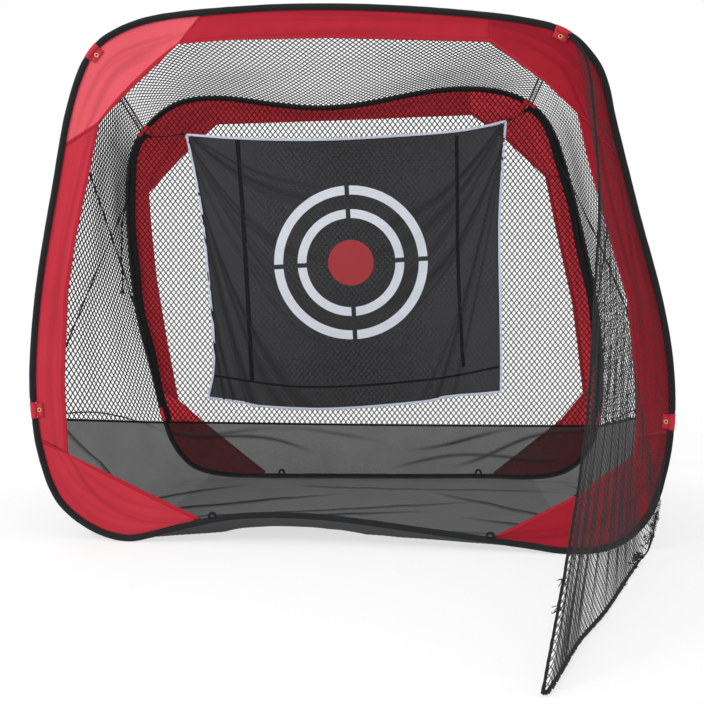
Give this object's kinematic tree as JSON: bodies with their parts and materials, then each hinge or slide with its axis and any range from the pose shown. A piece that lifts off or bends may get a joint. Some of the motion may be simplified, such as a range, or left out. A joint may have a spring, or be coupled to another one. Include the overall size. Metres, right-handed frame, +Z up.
{
  "type": "golf chipping net",
  "caption": "Pop-up golf practice net: two sprung sleeved hoops joined by netting, mesh ground sheet, hanging target and a swinging side barrier.",
  "frame": {"origin": "on the ground, midway between the two hoops' planes, at the middle of the ground sheet", "axes": "+Z up, -Y out of the open mouth towards the player, +X to the player's right"},
  "size_m": [2.4211, 2.9355, 1.9967],
  "materials": {
    "red_fabric": "woven nylon, soft sheen",
    "dark_red_fabric": "woven nylon, soft sheen",
    "black_fabric": "padded woven sleeve, matt",
    "black_netting": "knotless cord netting, 20 mm diamond mesh",
    "grey_mesh": "fine woven mesh, half see-through",
    "target_fabric": "matt fabric with a printed ring target",
    "black_cord": "braided cord",
    "brass": "brushed",
    "spring_steel": "bare drawn wire"
  },
  "bodies": {
    "front_frame": {"front_top_sleeve": "black_fabric", "front_right_sleeve": "black_fabric", "front_bottom_sleeve": "black_fabric", "front_left_sleeve": "black_fabric", "front_hoop_rod": "spring_steel", "front_hoop_ferrule": "brass", "front_upper_left_eyelet": "brass", "front_upper_left_tab": "red_fabric", "front_upper_right_eyelet": "brass", "front_upper_right_tab": "red_fabric", "front_lower_right_eyelet": "brass", "front_lower_right_tab": "red_fabric", "front_lower_left_eyelet": "brass", "front_lower_left_tab": "red_fabric", "front_top_band": "red_fabric", "front_upper_right_corner": "red_fabric", "front_right_band": "red_fabric", "front_lower_right_corner": "red_fabric", "front_lower_left_corner": "red_fabric", "front_left_band": "red_fabric", "front_upper_left_corner": "red_fabric", "front_left_peg_loop": "black_fabric", "front_right_peg_loop": "black_fabric", "roof_net": "black_netting", "right_net": "black_netting", "left_net": "black_netting", "right_skirt": "grey_mesh", "left_skirt": "grey_mesh", "ground_sheet": "grey_mesh", "left_falling_cord": "black_cord", "left_rising_cord": "black_cord", "right_rising_cord": "black_cord", "right_falling_cord": "black_cord", "left_cord_tail": "black_cord"},
    "rear_frame": {"rear_top_sleeve": "black_fabric", "rear_right_sleeve": "black_fabric", "rear_bottom_sleeve": "black_fabric", "rear_left_sleeve": "black_fabric", "rear_hoop_rod": "spring_steel", "rear_hoop_ferrule": "brass", "rear_upper_left_tab": "dark_red_fabric", "rear_upper_right_tab": "dark_red_fabric", "rear_lower_right_tab": "dark_red_fabric", "rear_lower_left_tab": "dark_red_fabric", "rear_top_band": "dark_red_fabric", "rear_upper_right_corner": "dark_red_fabric", "rear_right_band": "dark_red_fabric", "rear_lower_right_corner": "dark_red_fabric", "rear_lower_left_corner": "dark_red_fabric", "rear_left_band": "dark_red_fabric", "rear_upper_left_corner": "dark_red_fabric", "rear_left_peg_loop": "black_fabric", "rear_right_peg_loop": "black_fabric", "back_net": "black_netting", "back_skirt": "grey_mesh", "left_target_tie": "black_cord", "right_target_tie": "black_cord"},
    "target": {"target_sheet": "target_fabric"},
    "side_barrier": {"side_barrier_net": "black_netting", "side_barrier_front_edge": "black_cord"}
  },
  "joints": [
    {"name": "collapse", "type": "slide", "parent": "front_frame", "child": "rear_frame", "axis": [0, -1, 0], "range_m": [0, 1.12], "deforming": ["roof_net", "left_net", "right_net", "left_skirt", "right_skirt", "ground_sheet", "left_falling_cord", "left_rising_cord", "right_rising_cord", "right_falling_cord", "left_cord_tail"]},
    {"name": "target_swing", "type": "hinge", "parent": "rear_frame", "child": "target", "pos_m": [-0.07, 0.51925, 1.6315], "axis": [-0.9992, 0, -0.0393], "range_deg": [-3, 35]},
    {"name": "barrier_swing", "type": "hinge", "parent": "front_frame", "child": "side_barrier", "pos_m": [0.97, -0.705, 1.02], "axis": [-0.1925, 0.0525, 0.9799], "range_deg": [0, 60]}
  ]
}
